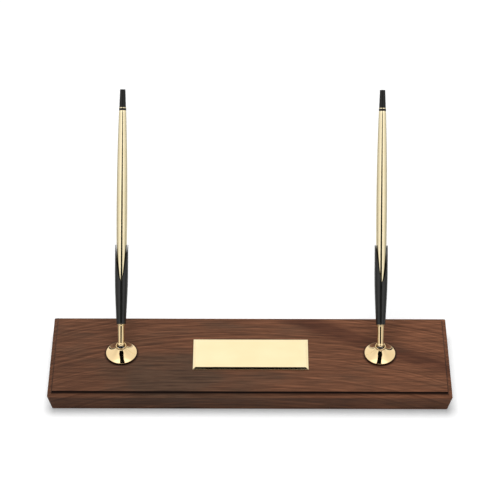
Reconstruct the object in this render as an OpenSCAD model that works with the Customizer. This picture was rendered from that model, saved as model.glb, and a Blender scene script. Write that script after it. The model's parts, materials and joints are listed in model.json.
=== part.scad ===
// Desk pen set: a walnut base with a bare engraving plate and two gilt swivel holders,
// each with a slim ballpoint pen standing in a black funnel and leaning to the back.
// Origin at the middle of the felt underside, +X to the right, +Y to the back, +Z up, millimetres.

/* [Base] */
// Width of the walnut block at its widest line
base_w = 279.4; // [220:0.1:340]
// Depth of the walnut block at its widest line
base_d = 76.2; // [60:0.1:110]
// Height of the walnut block
block_h = 17.2; // [15:0.1:26]
// Radius of the cove around the top field
cove_r = 2.4; // [1:0.1:4]
// Upright step between the top field and the cove
cove_step = 0.6; // [0.2:0.1:1.5]
// Flat lip outside the cove
lip_w = 0.9; // [0.4:0.1:2]
// How far the sides slope in from the lip to the bottom
undercut = 2.5; // [0.5:0.1:5]
// Thickness of the felt under the block
felt_t = 0.8; // [0.5:0.1:2]
// Distance of the felt's edge from the block's bottom edge
felt_inset = 1.5; // [0.5:0.1:4]

/* [Name plate] */
// Width of the plate
plate_w = 80.5; // [50:0.1:110]
// Depth of the plate
plate_d = 28.6; // [15:0.1:40]
// Thickness of the plate
plate_t = 1.1; // [0.8:0.05:2]
// Width of the bevel around the plate, seen from above
bevel_w = 1.75; // [0.5:0.05:3]
// Height of that bevel
bevel_h = 0.6; // [0.2:0.05:0.7]
// Thickness of the adhesive sheet under the plate
adhesive_t = 0.2; // [0.1:0.05:0.5]
// Distance of the adhesive's edge from the plate's edge
adhesive_inset = 1.5; // [0.5:0.1:4]

/* [Holder places] */
// Distance of each swivel from the end of the base, before the row is shifted
swivel_from_end = 49.2; // [40:0.1:60]
// Shift of the swivels and the plate to the right of the middle of the base
row_right = 0.55; // [-8:0.05:8]
// Shift of the swivels behind the middle of the base
row_back = 0.55; // [-8:0.05:8]
// Shift of the plate behind the middle of the base
plate_back = -0.55; // [-8:0.05:8]
// Lean of the holders to the back, at rest
lean = 45; // [0:0.5:45]
// Turn of the left holder to the right of straight back, at rest
left_rest_turn = 0.25; // [-20:0.05:20]
// Turn of the right holder to the right of straight back, at rest
right_rest_turn = 0.6; // [-20:0.05:20]
// Largest lean that the ball's cup allows
lean_limit = 47; // [46:0.5:50]

/* [Dish] */
// Diameter of the dish at its rim
dish_d = 21.5; // [18:0.1:30]
// Height of the recessed foot under the rim
dish_foot_h = 0.9; // [0.3:0.1:1.2]
// How far the foot stands back under the rim
dish_foot_in = 0.5; // [0.2:0.05:0.6]
// Height of the upright rim
rim_h = 0.5; // [0.3:0.1:1.5]
// Rise of the cone from the rim to the neck
cone_h = 6.2; // [5:0.1:8]
// Depth of the hollow along the cone's side
cone_hollow = 0.5; // [0:0.05:0.7]
// Height of the neck above the cone
neck_h = 0.8; // [0.4:0.1:1.5]
// Wall of the neck around the socket
neck_wall = 0.7; // [0.4:0.05:1.2]
// Wall of the cone, measured upright
cone_wall = 1.4; // [1.2:0.05:1.8]
// Thickness of the socket's floor
floor_t = 1; // [0.6:0.1:1.4]

/* [Swivel] */
// Diameter of the ball
ball_d = 4.2; // [3.6:0.1:6]
// Diameter of the stud's shoulder
shoulder_d = 4; // [3.6:0.1:5]
// Thickness of the stud's shoulder
shoulder_t = 0.4; // [0.3:0.05:0.8]
// Diameter of the stud's shank
shank_d = 3; // [2:0.1:3.2]
// Length of the shank that stands out below the nut
stud_end = 0.8; // [0.3:0.1:1.5]
// Wall of the bushing around the shank
bushing_wall = 1.15; // [0.6:0.05:1.6]
// Diameter of the bushing's flange
bushing_flange_d = 10; // [8:0.1:12]
// Thickness of the bushing's flange
bushing_flange_t = 0.8; // [0.5:0.1:1.2]
// Diameter of the counterbore under the block
counterbore_d = 14; // [12:0.1:20]
// Depth of the counterbore
counterbore_h = 8; // [7.5:0.1:10]
// Diameter of the flat washer
washer_d = 10; // [8:0.1:12]
// Thickness of the flat washer
washer_t = 0.8; // [0.5:0.1:1.2]
// Diameter of the spring washer
spring_washer_d = 8; // [7:0.1:10]
// Sheet of the spring washer
spring_washer_t = 0.4; // [0.2:0.05:0.6]
// Rise of the spring washer's cone
spring_washer_rise = 0.4; // [0.2:0.05:0.8]
// Width of the nut across its flats
nut_flats = 5.5; // [5:0.1:7]
// Thickness of the nut
nut_t = 2.4; // [1.6:0.1:3]

/* [Stem] */
// Length from the ball's centre to the funnel
stem_len = 14.4; // [13:0.1:24]
// Wall of the cup around the ball
cup_wall = 0.35; // [0.25:0.05:0.6]
// Depth of the cup's lip below the ball's centre
cup_lip = 0.8; // [0.6:0.05:0.9]
// Diameter of the shaft just above the cup
shaft_low_d = 4.5; // [4:0.1:4.8]
// Diameter of the shaft just below the flare
shaft_top_d = 4.9; // [4.2:0.1:5.2]
// Length of the flare under the flange
flare_len = 1.2; // [0.5:0.1:2]
// Diameter of the flange that carries the funnel
flange_d = 5.5; // [5:0.1:5.7]
// Thickness of the flange
flange_t = 0.5; // [0.3:0.1:1]
// Diameter of the spigot that the funnel is screwed on
spigot_d = 3; // [2:0.1:3.6]
// Length of the spigot
spigot_len = 4.5; // [3:0.1:6]
// Diameter of the plunger that presses on the ball
seat_d = 2.7; // [2:0.1:3]
// Length of the plunger
seat_len = 3.4; // [2.5:0.1:4]
// Wire of the coil spring behind the plunger
wire_d = 0.4; // [0.3:0.05:0.5]
// Length of that spring
spring_len = 5; // [4:0.1:6]
// Turns of that spring
spring_turns = 5; // [4:1:6]

/* [Funnel] */
// Diameter of the funnel at its foot
funnel_foot_d = 6.5; // [5.6:0.1:6.9]
// Diameter of the funnel above its flare
funnel_d = 9.3; // [8.8:0.1:11]
// Length of the flare from the foot
funnel_flare_len = 38; // [24:0.5:44]
// Wall of the funnel
funnel_wall = 0.7; // [0.4:0.05:0.8]
// Floor between the spigot and the pen
funnel_floor = 1; // [0.6:0.1:2]
// Length from the foot to the bottom of the notch
notch_start = 28.4; // [24:0.1:36]
// Depth of the notch, from the ears to its bottom
notch_depth = 27; // [10:0.5:36]
// Width that is left on top of each ear
ear_land = 0.1; // [0.1:0.05:0.4]
// Turn of the left funnel on its spigot, to the right as seen from the front
left_funnel_turn = -2.5; // [-45:0.5:45]
// Turn of the right funnel on its spigot
right_funnel_turn = 10; // [-45:0.5:45]

/* [Pen] */
// Length of the pen from point to tail
pen_len = 158; // [145:0.5:175]
// Diameter of the barrel at its belly
barrel_d = 7.6; // [6.8:0.1:7.7]
// Diameter of the barrel at the tail end
barrel_end_d = 5.1; // [4.6:0.1:6]
// Distance of the belly from the point
belly_at = 73; // [60:0.5:85]
// Wall of the barrel
barrel_wall = 0.45; // [0.3:0.05:0.5]
// Distance of the barrel's front edge from the point
barrel_from = 22; // [20:0.5:24]
// Length of the tapered tail
tail_len = 12.3; // [8:0.1:16]
// Diameter of the tail at its end
tail_end_d = 3.8; // [3:0.1:4.2]
// Step from the tail ring down to the tail
tail_step = 0.2; // [0.1:0.05:0.4]
// Length of the gilt tail ring
ring_len = 0.6; // [0.4:0.1:1.5]
// Length of the black tail band
band_len = 1.5; // [0.8:0.1:2.5]
// Length of the tail's plug inside the barrel
plug_len = 6; // [4:0.1:10]
// Length of the point that stands out of the nose tip
point_out = 2; // [1:0.1:3]
// Diameter of the ballpoint at its end
point_end_d = 0.7; // [0.5:0.05:0.9]
// Diameter of the ballpoint's body
point_d = 1.9; // [1.6:0.05:2.2]
// Length of the nose tip
nose_len = 6; // [5:0.1:8]
// Diameter of the nose tip at its mouth
nose_end_d = 2.6; // [2.5:0.05:3]
// Diameter of the front section where the nose tip meets it
section_end_d = 4.2; // [4:0.05:4.6]
// Diameter of the refill
refill_d = 3.2; // [2.6:0.05:3.2]
// Wall of the refill's tube
refill_wall = 0.3; // [0.2:0.05:0.5]
// Length of the refill's tube
refill_len = 96; // [70:0.5:100]
// Length of the refill point's shoulder
point_shoulder = 2.5; // [1.5:0.1:3]
// Length of the point's plug in the tube
point_plug = 3; // [2:0.1:5]
// Half the length of the threaded connector
connector_half = 6; // [4:0.1:8]
// Wall of the front section around the connector
section_wall = 0.5; // [0.4:0.05:0.6]

/* [Fits] */
// Radial clearance of what runs or turns
run_gap = 0.05; // [0.02:0.01:0.1]
// Radial clearance of what slips together and stays
slip_gap = 0.03; // [0.01:0.01:0.1]
// Room between the stem's foot and the socket's wall
socket_gap = 0.45; // [0.4:0.05:0.8]
// Room between the leaning shaft and the neck
shaft_gap = 0.25; // [0.15:0.05:0.5]
// Room between the pen's point and the funnel's floor
point_gap = 0.5; // [0.2:0.1:1]

/* [Hidden] */
$fn = 96;
// What a cutter stands proud of the face that it cuts
cut = 1;

// Base
lip_z = block_h - cove_r - cove_step;
wood_z = felt_t;
top_z = felt_t + block_h;
swivel_x = base_w / 2 - swivel_from_end;

// Ball, cup and socket, with heights counted from the top of the wood
ball_r = ball_d / 2;
cup_r = ball_r + run_gap;
foot_r = cup_r + cup_wall;
cup_lip_r = sqrt(cup_r * cup_r - cup_lip * cup_lip);
stud_neck_r = (cup_lip_r - run_gap) * cos(lean_limit) - cup_lip * sin(lean_limit);
socket_r = foot_r + socket_gap;
neck_r = socket_r + neck_wall;
rim_top = dish_foot_h + rim_h;
neck_z = rim_top + cone_h;
neck_top = neck_z + neck_h;
ball_rise = (shaft_low_d / 2 + shaft_gap - socket_r * cos(lean_limit)) / sin(lean_limit);
ball_z = neck_top + ball_rise;
shoulder_top = ball_z - foot_r - run_gap;
floor_top = shoulder_top - shoulder_t - run_gap;
floor_z = floor_top - floor_t;

// Dish cone
dish_r = dish_d / 2;
dish_foot_r = dish_r - dish_foot_in;
cone_run = dish_r - neck_r;
cone_points = 12;
function cone_r(z) = dish_r - (z - rim_top) * cone_run / cone_h;
function cone_point(share) =
    let (sag = 4 * share * (1 - share) * cone_hollow / norm([cone_run, cone_h]))
    [dish_r - cone_run * share - cone_h * sag, rim_top + cone_h * share - cone_run * sag];
inner_foot_r = cone_r(rim_top + cone_wall / 2);
inner_foot_z = rim_top - cone_wall / 2;
inner_top_r = cone_r(floor_z + cone_wall);

// Stud and what is under the wood
shank_r = shank_d / 2;
bushing_r = shank_r + run_gap + bushing_wall;
seat_plane = counterbore_h - block_h;
spring_washer_top = seat_plane - washer_t;
nut_top = spring_washer_top - spring_washer_t - spring_washer_rise - run_gap;
stud_bottom = nut_top - nut_t - stud_end;

// Stem, with heights counted along the holder from the ball's centre
shaft_low_z = sqrt(foot_r * foot_r - shaft_low_d * shaft_low_d / 4);
flare_z = stem_len - flange_t - flare_len;
spigot_end = stem_len + spigot_len;
seat_r = seat_d / 2;
seat_bore_r = seat_r + slip_gap;
seat_face_r = ball_r + run_gap;
seat_low_z = sqrt(seat_face_r * seat_face_r - seat_r * seat_r);
seat_top_z = seat_low_z + seat_len;
spring_top_z = seat_top_z + spring_len;
coil_r = seat_r - wire_d;
coil_sides = 6;
coil_steps = 12;

// Funnel, with heights counted along the holder
funnel_floor_z = spigot_end + funnel_floor;
notch_z = stem_len + notch_start;
ear_z = notch_z + notch_depth;
funnel_r = funnel_d / 2;
flare_points = 12;
notch_points = 12;
function funnel_out_r(z) =
    let (share = min(1, (z - stem_len) / funnel_flare_len))
    funnel_foot_d / 2 + (funnel_r - funnel_foot_d / 2) * sin(90 * share);
function along(from, to, count) = [for (i = [0:count]) from + (to - from) * i / count];

// Pen, with places counted from the point
pen_z = funnel_floor_z + point_gap;
tail_from = pen_len - tail_len;
ring_from = tail_from - ring_len;
barrel_to = ring_from - band_len;
barrel_points = 24;
function barrel_r(p) =
    let (share = (p - belly_at) / (barrel_to - belly_at))
    barrel_d / 2 - (barrel_d - barrel_end_d) / 2 * share * share;
plug_r = barrel_end_d / 2 - barrel_wall - slip_gap;
ring_r = barrel_end_d / 2 + slip_gap;
tail_r = ring_r - tail_step;
section_from = point_out + nose_len;
point_r = point_d / 2;
refill_r = refill_d / 2;
refill_bore_r = refill_r + slip_gap;
shoulder_from = section_from - point_shoulder / 2;
tube_from = shoulder_from + point_shoulder;
connector_low_r = barrel_r(barrel_from) - section_wall - slip_gap;
connector_top_r = barrel_r(barrel_from) - barrel_wall - slip_gap;
connector_from = barrel_from - connector_half;
connector_to = barrel_from + connector_half;

left = -1;
right = 1;

// Places a piece on the top of the wood, over one swivel
module on_swivel(side) {
    translate([row_right + side * swivel_x, row_back, top_z]) children();
}

// Places a piece along a holder, from the ball's centre up, with a turn about its own length
module on_holder(side, turn = 0) {
    rest_turn = side == left ? left_rest_turn : right_rest_turn;
    on_swivel(side) translate([0, 0, ball_z])
        rotate([0, 0, -rest_turn]) rotate([-lean, 0, 0]) rotate([0, 0, turn]) children();
}

// Places a piece along a pen, from its point up
module on_pen(side) {
    on_holder(side) translate([0, 0, pen_z]) children();
}

// A block whose four sides follow one profile, mitred at the corners.
// The first child is the profile across the width, the second the one across the depth.
module mitred_block(width, depth) {
    intersection() {
        rotate([90, 0, 0]) linear_extrude(depth + 2 * cut, center = true) children(0);
        rotate([90, 0, 90]) linear_extrude(width + 2 * cut, center = true) children(1);
    }
}

module ring(outer_r, inner_r, low, high) {
    translate([0, 0, low]) difference() {
        cylinder(r = outer_r, h = high - low);
        translate([0, 0, -cut]) cylinder(r = inner_r, h = high - low + 2 * cut);
    }
}

module base_profile(size) {
    field = size / 2 - lip_w - cove_r;
    difference() {
        polygon([
            [undercut - size / 2, 0], [size / 2 - undercut, 0],
            [size / 2, lip_z], [field + cove_r, lip_z], [field + cove_r, lip_z + cove_r],
            [field, lip_z + cove_r], [field, block_h],
            [-field, block_h], [-field, lip_z + cove_r],
            [-field - cove_r, lip_z + cove_r], [-field - cove_r, lip_z], [-size / 2, lip_z]
        ]);
        for (side = [left, right])
            translate([side * (field + cove_r), lip_z + cove_r]) circle(r = cove_r);
    }
}

module walnut_base() {
    color("saddlebrown") translate([0, 0, wood_z]) difference() {
        mitred_block(base_w, base_d) {
            base_profile(base_w);
            base_profile(base_d);
        }
        for (side = [left, right]) translate([row_right + side * swivel_x, row_back, 0]) {
            translate([0, 0, -cut]) cylinder(r = bushing_r + slip_gap, h = block_h + 2 * cut);
            translate([0, 0, -cut]) cylinder(d = counterbore_d, h = counterbore_h + cut);
        }
    }
}

module felt_pad() {
    edge = 2 * (undercut + felt_inset);
    color("darkgreen") translate([0, 0, felt_t / 2])
        cube([base_w - edge, base_d - edge, felt_t], center = true);
}

module plate_adhesive() {
    edge = 2 * adhesive_inset;
    color("gainsboro") translate([row_right, plate_back, top_z + adhesive_t / 2])
        cube([plate_w - edge, plate_d - edge, adhesive_t], center = true);
}

module plate_profile(size) {
    polygon([
        [-size / 2, 0], [size / 2, 0], [size / 2, plate_t - bevel_h],
        [size / 2 - bevel_w, plate_t], [bevel_w - size / 2, plate_t],
        [-size / 2, plate_t - bevel_h]
    ]);
}

module name_plate() {
    color("palegoldenrod") translate([row_right, plate_back, top_z + adhesive_t])
        mitred_block(plate_w, plate_d) {
            plate_profile(plate_w);
            plate_profile(plate_d);
        }
}

module dish() {
    foot = [
        [inner_foot_r, 0], [dish_foot_r, 0], [dish_foot_r, dish_foot_h], [dish_r, dish_foot_h]
    ];
    outside = [for (i = [0:cone_points]) cone_point(i / cone_points)];
    inside = [
        [neck_r, neck_top], [socket_r, neck_top], [socket_r, floor_top],
        [shank_r + run_gap, floor_top], [shank_r + run_gap, floor_z],
        [inner_top_r, floor_z], [inner_foot_r, inner_foot_z]
    ];
    color("gold") rotate_extrude() polygon(concat(foot, outside, inside));
}

module bushing() {
    color("darkgoldenrod") rotate_extrude() polygon([
        [shank_r + run_gap, seat_plane], [bushing_r, seat_plane], [bushing_r, 0],
        [bushing_flange_d / 2, 0], [bushing_flange_d / 2, bushing_flange_t],
        [bushing_r, bushing_flange_t], [bushing_r, floor_z], [shank_r + run_gap, floor_z]
    ]);
}

module washer() {
    color("silver") ring(washer_d / 2, shank_r + run_gap, seat_plane - washer_t, seat_plane);
}

module spring_washer() {
    outer = spring_washer_d / 2;
    inner = shank_r + run_gap;
    low = spring_washer_top - spring_washer_rise;
    color("dimgray") rotate_extrude() polygon([
        [outer, spring_washer_top], [inner, low],
        [inner, low - spring_washer_t], [outer, spring_washer_top - spring_washer_t]
    ]);
}

module ball_stud() {
    color("silver") {
        rotate_extrude() polygon([
            [0, ball_z], [stud_neck_r, ball_z], [stud_neck_r, shoulder_top],
            [shoulder_d / 2, shoulder_top], [shoulder_d / 2, shoulder_top - shoulder_t],
            [shank_r, shoulder_top - shoulder_t], [shank_r, stud_bottom], [0, stud_bottom]
        ]);
        translate([0, 0, ball_z]) sphere(r = ball_r);
    }
}

module stud_nut() {
    color("silver") translate([0, 0, nut_top - nut_t]) difference() {
        cylinder(d = nut_flats / cos(30), h = nut_t, $fn = 6);
        translate([0, 0, -cut]) cylinder(r = shank_r, h = nut_t + 2 * cut);
    }
}

module stem() {
    color("gold") difference() {
        union() {
            intersection() {
                sphere(r = foot_r);
                translate([0, 0, -cup_lip]) cylinder(r = foot_r, h = cup_lip + shaft_low_z);
            }
            rotate_extrude() polygon([
                [0, shaft_low_z], [shaft_low_d / 2, shaft_low_z], [shaft_top_d / 2, flare_z],
                [flange_d / 2, stem_len - flange_t], [flange_d / 2, stem_len],
                [spigot_d / 2, stem_len], [spigot_d / 2, spigot_end], [0, spigot_end]
            ]);
        }
        sphere(r = cup_r);
        cylinder(r = seat_bore_r, h = spring_top_z);
    }
}

module ball_seat() {
    color("ivory") difference() {
        translate([0, 0, seat_low_z]) cylinder(r = seat_r, h = seat_len);
        sphere(r = seat_face_r);
    }
}

// A coil spring swept along its helix, with its end turns touching what it presses on
module friction_spring() {
    steps = spring_turns * coil_steps;
    low = seat_top_z + wire_d / 2;
    rise = spring_len - wire_d;
    points = [
        for (i = [0:steps], j = [0:coil_sides - 1])
            let (turn = 360 * i / coil_steps, around = 360 * j / coil_sides,
                 r = coil_r + wire_d / 2 * cos(around))
            [r * cos(turn), r * sin(turn), low + rise * i / steps + wire_d / 2 * sin(around)]
    ];
    sides = [
        for (i = [0:steps - 1], j = [0:coil_sides - 1])
            let (a = i * coil_sides + j, b = i * coil_sides + (j + 1) % coil_sides)
            [a, a + coil_sides, b + coil_sides, b]
    ];
    first = [for (j = [0:coil_sides - 1]) j];
    last = [for (j = [coil_sides - 1:-1:0]) steps * coil_sides + j];
    color("gray") polyhedron(points, concat(sides, [first, last]));
}

module funnel() {
    outside = concat(
        [for (z = along(stem_len, stem_len + funnel_flare_len, flare_points)) [funnel_out_r(z), z]],
        [[funnel_r, ear_z]]
    );
    inside = concat(
        [[funnel_r - funnel_wall, ear_z]],
        [for (z = along(stem_len + funnel_flare_len, funnel_floor_z, flare_points))
            [funnel_out_r(z) - funnel_wall, z]]
    );
    bottom = [
        [0, funnel_floor_z], [0, spigot_end],
        [spigot_d / 2 + slip_gap, spigot_end], [spigot_d / 2 + slip_gap, stem_len]
    ];
    color("black") difference() {
        rotate_extrude() polygon(concat(outside, inside, bottom));
        rotate([90, 0, 0]) linear_extrude(funnel_d + 2 * cut, center = true) notch();
    }
}

// The V seen from the front, with sides that curve up along the ears
module notch() {
    reach = funnel_r - ear_land;
    edge = [
        for (i = [0:notch_points])
            [reach * sin(90 * i / notch_points), notch_z + notch_depth * i / notch_points]
    ];
    mirrored = [for (i = [notch_points:-1:1]) [-edge[i][0], edge[i][1]]];
    polygon(concat(edge, [[reach, ear_z + cut], [-reach, ear_z + cut]], mirrored));
}

module barrel() {
    places = along(barrel_from, barrel_to, barrel_points);
    outside = [for (p = places) [barrel_r(p), p]];
    inside = [
        for (i = [barrel_points:-1:0]) [barrel_r(places[i]) - barrel_wall, places[i]]
    ];
    color("khaki") rotate_extrude() polygon(concat(outside, inside));
}

module tail_band() {
    color("black") ring(barrel_end_d / 2, plug_r + slip_gap, barrel_to, ring_from);
}

module tail_ring() {
    color("gold") ring(ring_r, plug_r + slip_gap, ring_from, tail_from);
}

module tail() {
    color("black") rotate_extrude() polygon([
        [0, barrel_to - plug_len], [plug_r, barrel_to - plug_len], [plug_r, tail_from],
        [tail_r, tail_from], [tail_end_d / 2, pen_len], [0, pen_len]
    ]);
}

module connector() {
    color("darkgoldenrod") rotate_extrude() polygon([
        [refill_bore_r, connector_from], [connector_low_r, connector_from],
        [connector_low_r, barrel_from], [connector_top_r, barrel_from],
        [connector_top_r, connector_to], [refill_bore_r, connector_to]
    ]);
}

module section() {
    color("dimgray") rotate_extrude() polygon([
        [refill_bore_r, section_from], [section_end_d / 2, section_from],
        [barrel_r(barrel_from), barrel_from],
        [connector_low_r + slip_gap, barrel_from],
        [connector_low_r + slip_gap, connector_from], [refill_bore_r, connector_from]
    ]);
}

module nose_tip() {
    color("gold") rotate_extrude() polygon([
        [point_r + slip_gap, point_out], [nose_end_d / 2, point_out],
        [section_end_d / 2, section_from], [refill_bore_r, section_from],
        [refill_bore_r, shoulder_from], [point_r + slip_gap, shoulder_from]
    ]);
}

module refill_tube() {
    color("goldenrod")
        ring(refill_r, refill_r - refill_wall, tube_from, tube_from + refill_len);
}

module refill_point() {
    plug = refill_r - refill_wall - slip_gap;
    color("silver") rotate_extrude() polygon([
        [0, 0], [point_end_d / 2, 0], [point_r, point_out], [point_r, shoulder_from],
        [refill_r, shoulder_from], [refill_r, tube_from], [plug, tube_from],
        [plug, tube_from + point_plug], [0, tube_from + point_plug]
    ]);
}

walnut_base();
felt_pad();
plate_adhesive();
name_plate();

on_swivel(left) dish();  // left_dish
on_swivel(left) bushing();  // left_bushing
on_swivel(left) washer();  // left_washer
on_swivel(left) spring_washer();  // left_spring_washer
on_swivel(left) ball_stud();  // left_ball_stud
on_swivel(left) stud_nut();  // left_stud_nut
on_holder(left) stem();  // left_stem
on_holder(left) ball_seat();  // left_ball_seat
on_holder(left) friction_spring();  // left_friction_spring
on_holder(left, left_funnel_turn) funnel();  // left_funnel
on_pen(left) barrel();  // left_barrel
on_pen(left) tail_band();  // left_tail_band
on_pen(left) tail_ring();  // left_tail_ring
on_pen(left) tail();  // left_tail
on_pen(left) connector();  // left_connector
on_pen(left) section();  // left_section
on_pen(left) nose_tip();  // left_nose_tip
on_pen(left) refill_tube();  // left_refill_tube
on_pen(left) refill_point();  // left_refill_point

on_swivel(right) dish();  // right_dish
on_swivel(right) bushing();  // right_bushing
on_swivel(right) washer();  // right_washer
on_swivel(right) spring_washer();  // right_spring_washer
on_swivel(right) ball_stud();  // right_ball_stud
on_swivel(right) stud_nut();  // right_stud_nut
on_holder(right) stem();  // right_stem
on_holder(right) ball_seat();  // right_ball_seat
on_holder(right) friction_spring();  // right_friction_spring
on_holder(right, right_funnel_turn) funnel();  // right_funnel
on_pen(right) barrel();  // right_barrel
on_pen(right) tail_band();  // right_tail_band
on_pen(right) tail_ring();  // right_tail_ring
on_pen(right) tail();  // right_tail
on_pen(right) connector();  // right_connector
on_pen(right) section();  // right_section
on_pen(right) nose_tip();  // right_nose_tip
on_pen(right) refill_tube();  // right_refill_tube
on_pen(right) refill_point();  // right_refill_point
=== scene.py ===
import json
import math

import bmesh
import bpy
from mathutils import Matrix, Vector


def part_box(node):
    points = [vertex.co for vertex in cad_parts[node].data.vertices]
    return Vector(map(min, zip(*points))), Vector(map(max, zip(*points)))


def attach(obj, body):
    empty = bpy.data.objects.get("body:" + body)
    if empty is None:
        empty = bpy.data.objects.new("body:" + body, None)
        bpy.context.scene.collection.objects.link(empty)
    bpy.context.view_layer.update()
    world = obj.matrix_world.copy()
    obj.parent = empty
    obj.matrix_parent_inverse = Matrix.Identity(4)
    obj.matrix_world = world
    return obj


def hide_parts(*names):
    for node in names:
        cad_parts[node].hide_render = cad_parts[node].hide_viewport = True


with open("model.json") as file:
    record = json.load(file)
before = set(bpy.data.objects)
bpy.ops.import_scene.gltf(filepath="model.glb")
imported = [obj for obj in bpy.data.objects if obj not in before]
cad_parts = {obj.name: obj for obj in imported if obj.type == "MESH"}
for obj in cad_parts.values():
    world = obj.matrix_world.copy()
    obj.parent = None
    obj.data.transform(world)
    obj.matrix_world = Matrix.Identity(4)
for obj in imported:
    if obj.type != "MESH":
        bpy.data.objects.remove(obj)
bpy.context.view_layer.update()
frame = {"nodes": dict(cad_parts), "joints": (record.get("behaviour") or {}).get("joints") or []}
joints = {joint["name"]: joint for joint in frame["joints"]}
sides = ("left", "right")

# Walnut block
# The base is one block of solid walnut with its grain along the length. A cove is milled around the
# top field, the sides are planed in towards the bottom, and satin lacquer goes over all of it.
block_low, block_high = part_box("walnut_base")
block_size = block_high - block_low
cove_radius = 0.0024
cove_step = 0.0006
cove_cuts = 8
lip_width = 0.0009
side_slope = 0.0025
corner_radius = 0.0012
arris_radius = 0.0003
bore_radius = 0.00273
counterbore_radius = 0.007
counterbore_depth = 0.008
drill_run = 0.002
drill_sides = 64
# Painted shade in the cove below the field's edge: where it starts, where it is full, where it ends, and
# how strong it is on the front, on the right and elsewhere.
cove_shade_from = 0.15
cove_shade_full = 0.50
cove_shade_to = 0.95
cove_shade_front = 1.6
cove_shade_right = 0.8
cove_shade_least = 0.15
lip_height = block_size.z - cove_radius - cove_step
lip_z = block_low.z + lip_height
near = 0.00001
level_face = 0.9
upright_face = 0.5
smooth_up_to = math.radians(35)


def add_primitive(name, add, **sizes):
    """Adds a primitive with nothing else selected, and opens it in edit mode, selected all over."""
    bpy.ops.object.select_all(action="DESELECT")
    add(**sizes)
    piece = bpy.context.object
    piece.name = name
    piece.data.name = name
    bpy.ops.object.mode_set(mode="EDIT")
    bpy.ops.mesh.select_all(action="SELECT")
    return piece


def pick(piece, kind, test):
    """Selects only those faces or edges of the piece in edit mode that pass a test."""
    bpy.ops.mesh.select_mode(type=kind)
    bpy.ops.mesh.select_all(action="DESELECT")
    mesh = bmesh.from_edit_mesh(piece.data)
    for part in mesh.faces if kind == "FACE" else mesh.edges:
        if test(part):
            part.select_set(True)
    bmesh.update_edit_mesh(piece.data)


def apply_modifier(piece, kind, **settings):
    """Adds one modifier to the piece and applies it."""
    bpy.ops.object.select_all(action="DESELECT")
    piece.select_set(True)
    bpy.context.view_layer.objects.active = piece
    modifier = piece.modifiers.new(kind.lower(), kind)
    for name, value in settings.items():
        setattr(modifier, name, value)
    bpy.ops.object.modifier_apply(modifier=modifier.name)


def even_shading(piece):
    """Shades the piece smooth up to its sharp edges, with flat faces kept flat beside rounded edges."""
    bpy.ops.object.select_all(action="DESELECT")
    piece.select_set(True)
    bpy.context.view_layer.objects.active = piece
    bpy.ops.object.shade_smooth_by_angle(angle=smooth_up_to)
    apply_modifier(piece, "WEIGHTED_NORMAL", keep_sharp=True, weight=100)


block = add_primitive("walnut_block", bpy.ops.mesh.primitive_cube_add, size=1)
bpy.ops.transform.resize(value=(block_size.x, block_size.y, lip_height))
bpy.ops.transform.translate(value=(0, 0, block_low.z + lip_height / 2))
pick(block, "FACE", lambda face: face.normal.z < -level_face)
bpy.ops.transform.resize(value=(1 - 2 * side_slope / block_size.x, 1 - 2 * side_slope / block_size.y, 1))
pick(block, "FACE", lambda face: face.normal.z > level_face)
bpy.ops.mesh.inset(thickness=lip_width, depth=0)
for cut in range(cove_cuts):
    start = math.pi / 2 * cut / cove_cuts
    end = math.pi / 2 * (cut + 1) / cove_cuts
    bpy.ops.mesh.inset(
        thickness=cove_radius * (math.sin(end) - math.sin(start)),
        depth=cove_radius * (math.cos(start) - math.cos(end)),
    )
bpy.ops.mesh.extrude_region_move(TRANSFORM_OT_translate={"value": (0, 0, cove_step)})
pick(block, "EDGE", lambda edge: abs(edge.verts[0].co.z - edge.verts[1].co.z) > lip_height / 2)
bpy.ops.mesh.bevel(offset=corner_radius, segments=5, affect="EDGES")
for level in (block_low.z, lip_z, block_high.z):
    pick(
        block,
        "EDGE",
        lambda edge: all(abs(vertex.co.z - level) < near for vertex in edge.verts)
        and any(abs(face.normal.z) < upright_face for face in edge.link_faces)
        and any(abs(face.normal.z) > level_face for face in edge.link_faces),
    )
    bpy.ops.mesh.bevel(offset=arris_radius, segments=3, affect="EDGES")
bpy.ops.object.mode_set(mode="OBJECT")

for side in sides:
    centre = Vector(joints[side + "_turn"]["pos_m"])
    for radius, top in (
        (bore_radius, block_high.z + drill_run),
        (counterbore_radius, block_low.z + counterbore_depth),
    ):
        bottom = block_low.z - drill_run
        drill = add_primitive(
            "drill",
            bpy.ops.mesh.primitive_cylinder_add,
            vertices=drill_sides,
            radius=radius,
            depth=top - bottom,
            location=(centre.x, centre.y, (top + bottom) / 2),
        )
        bpy.ops.object.mode_set(mode="OBJECT")
        apply_modifier(block, "BOOLEAN", operation="DIFFERENCE", object=drill)
        bpy.data.objects.remove(drill)
even_shading(block)

# Painted shade: the cove's upper part is darkened, most where it faces the front, less on the right,
# least on the left and at the back.
painted_cove_shade = block.data.attributes.new("painted_cove_shade", "FLOAT", "POINT")
for vertex in block.data.vertices:
    share = (vertex.co.z - lip_z) / (cove_radius + cove_step)
    if cove_shade_from < share < cove_shade_to:
        facing = max(-cove_shade_front * vertex.normal.y, cove_shade_right * vertex.normal.x, cove_shade_least)
        depth = min(1, (share - cove_shade_from) / (cove_shade_full - cove_shade_from))
        painted_cove_shade.data[vertex.index].value = depth * min(1, facing)


def start_material(name):
    """Makes a material, and returns it with its node tree and its surface shader."""
    material = bpy.data.materials.new(name)
    material.use_nodes = True
    tree = material.node_tree
    return material, tree, tree.nodes["Principled BSDF"]


def fill(tree, socket, value):
    """Sets a socket to a value, or links it to another node's output."""
    if isinstance(value, bpy.types.NodeSocket):
        tree.links.new(value, socket)
    else:
        socket.default_value = value


def add_node(tree, kind, inputs, **settings):
    """Adds a node with its settings, and fills its inputs."""
    node = tree.nodes.new(kind)
    for name, value in settings.items():
        setattr(node, name, value)
    for name, value in inputs.items():
        fill(tree, node.inputs[name], value)
    return node


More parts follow.
